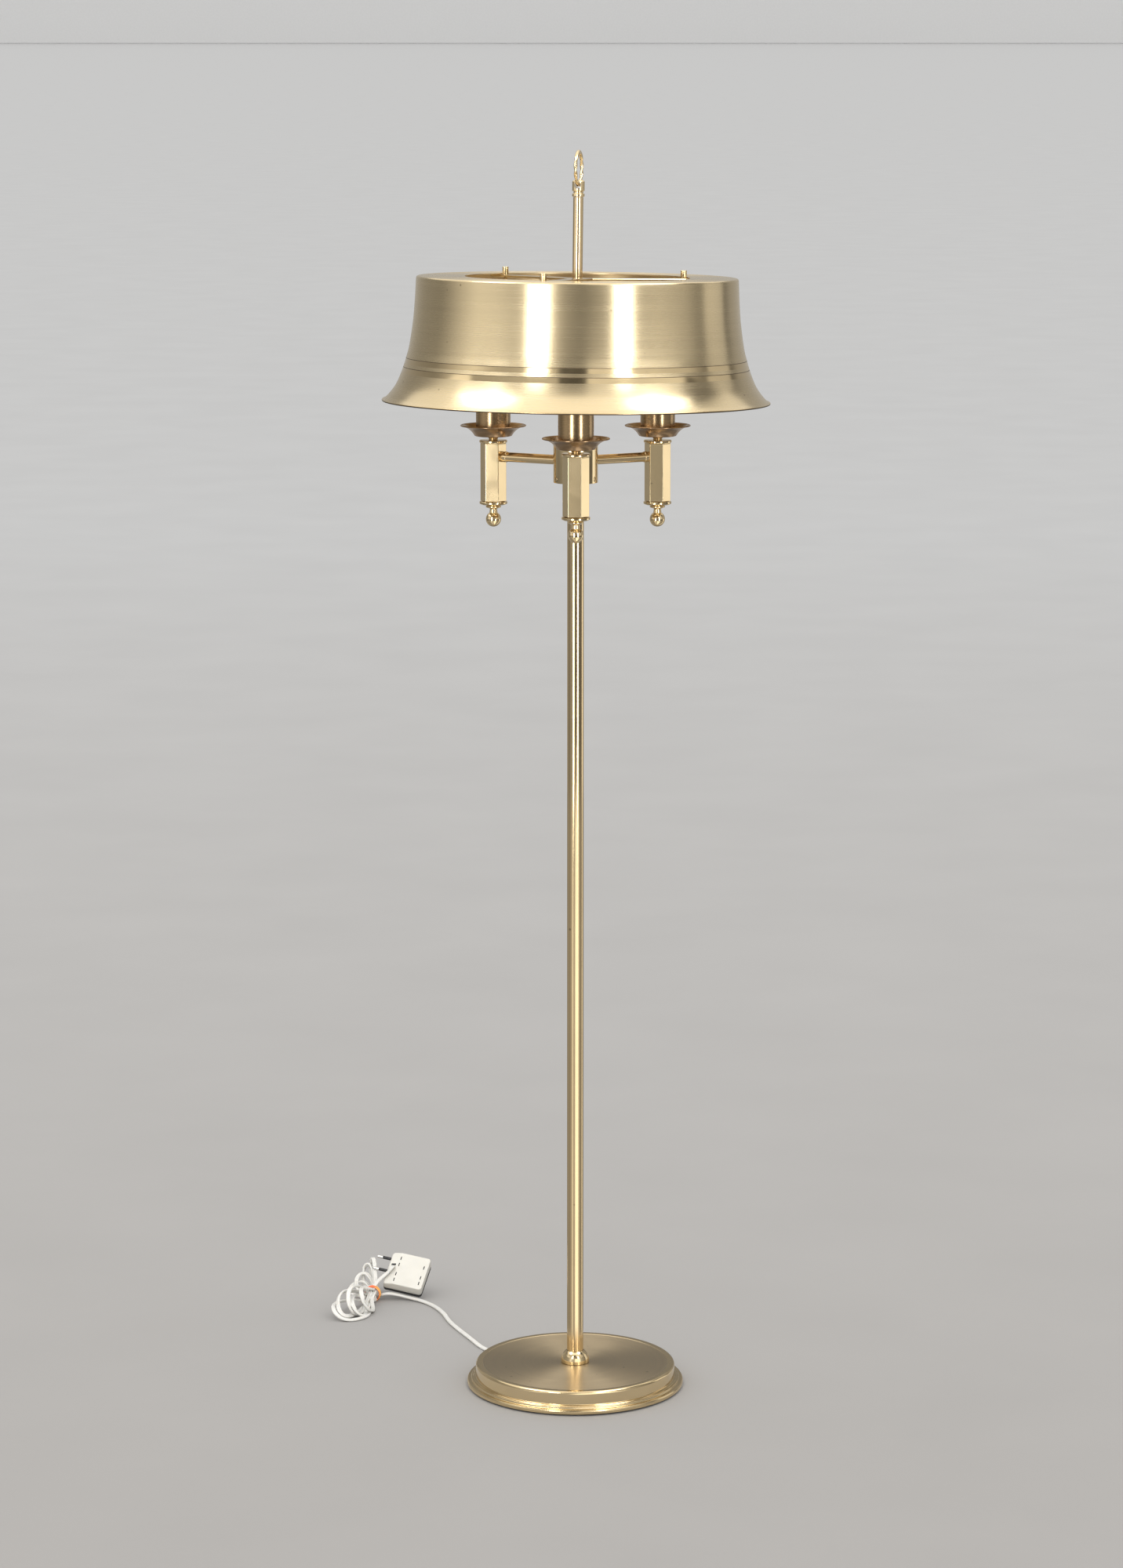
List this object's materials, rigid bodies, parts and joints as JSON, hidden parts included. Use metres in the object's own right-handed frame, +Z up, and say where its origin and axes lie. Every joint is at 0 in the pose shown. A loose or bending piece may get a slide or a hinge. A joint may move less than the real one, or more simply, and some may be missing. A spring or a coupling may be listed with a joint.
{
  "type": "pharmacy floor lamp",
  "caption": "Brass floor lamp with candle arms under one spun metal shade that slides and turns on a rod with a ring handle, on a slim post and a weighted round base.",
  "frame": {"origin": "middle of the base's underside, on the floor", "axes": "+Z up along the post; -Y is the front, the way one candle arm points; +X is to the right seen from the front"},
  "size_m": [0.542, 0.6265, 1.4999],
  "materials": {
    "brushed_brass": "brushed, with a clear lacquer",
    "polished_brass": "polished",
    "satin_brass": "satin, copper-toned",
    "steel": "plain zinc plated",
    "cast_iron": "as cast",
    "felt": "pressed felt",
    "white_plastic": "moulded satin",
    "black_plastic": "moulded matt",
    "white_cord": "smooth flexible plastic sheath",
    "porcelain": "glazed",
    "opal_glass": "opal",
    "rubber_band": "matt"
  },
  "bodies": {
    "lamp_frame": {"base_felt": "felt", "base_cover": "brushed_brass", "base_weight": "cast_iron", "base_washer": "steel", "base_nut": "steel", "base_nipple": "steel", "hub_plate": "steel", "hub_screw_1": "steel", "hub_screw_2": "steel", "hub_screw_3": "steel", "plug_pin_1": "steel", "plug_pin_2": "steel", "cord_bush": "black_plastic", "plug_base": "black_plastic", "post": "polished_brass", "foot_collar": "polished_brass", "hub_shell": "polished_brass", "rod_socket": "polished_brass", "rod": "polished_brass", "rod_finial": "polished_brass", "base_lead": "white_cord", "post_lead": "white_cord", "cord_run": "white_cord", "cord_hank": "white_cord", "terminal_block": "porcelain", "arm_1": "polished_brass", "cup_1": "polished_brass", "cup_flange_1": "polished_brass", "ball_finial_1": "polished_brass", "tray_1": "satin_brass", "candle_sleeve_1": "satin_brass", "lampholder_1": "porcelain", "bulb_1": "opal_glass", "arm_2": "polished_brass", "cup_2": "polished_brass", "cup_flange_2": "polished_brass", "ball_finial_2": "polished_brass", "tray_2": "satin_brass", "candle_sleeve_2": "satin_brass", "lampholder_2": "porcelain", "bulb_2": "opal_glass", "arm_3": "polished_brass", "cup_3": "polished_brass", "cup_flange_3": "polished_brass", "ball_finial_3": "polished_brass", "tray_3": "satin_brass", "candle_sleeve_3": "satin_brass", "lampholder_3": "porcelain", "bulb_3": "opal_glass", "rubber_band": "rubber_band", "plug_cover": "white_plastic"},
    "shade_body": {"shade": "brushed_brass", "shade_spider": "polished_brass", "shade_stud_1": "polished_brass", "shade_stud_2": "polished_brass", "shade_stud_3": "polished_brass"},
    "shade_collar": {"slide_collar": "polished_brass"},
    "thumb_screw": {"thumb_screw": "polished_brass"},
    "ring_handle": {"ring_handle": "polished_brass"}
  },
  "joints": [
    {"name": "shade_slide", "type": "slide", "parent": "lamp_frame", "child": "shade_collar", "axis": [0.0105, 0.0192, 0.9998], "range_m": [-0.04, 0.06]},
    {"name": "shade_turn", "type": "hinge", "parent": "shade_collar", "child": "shade_body", "pos_m": [0, 0, 1.156], "axis": [0.0105, 0.0192, 0.9998], "continuous": true},
    {"name": "thumb_screw_turn", "type": "hinge", "parent": "shade_collar", "child": "thumb_screw", "pos_m": [0.0019, 0.00349, 1.33766], "axis": [0.866, -0.5001, 0.0005], "range_deg": [0, 360]},
    {"name": "ring_swing", "type": "hinge", "parent": "lamp_frame", "child": "ring_handle", "pos_m": [0.00317, 0.00582, 1.45893], "axis": [0.1908, 0.9814, -0.0208], "range_deg": [-160, 160]}
  ]
}
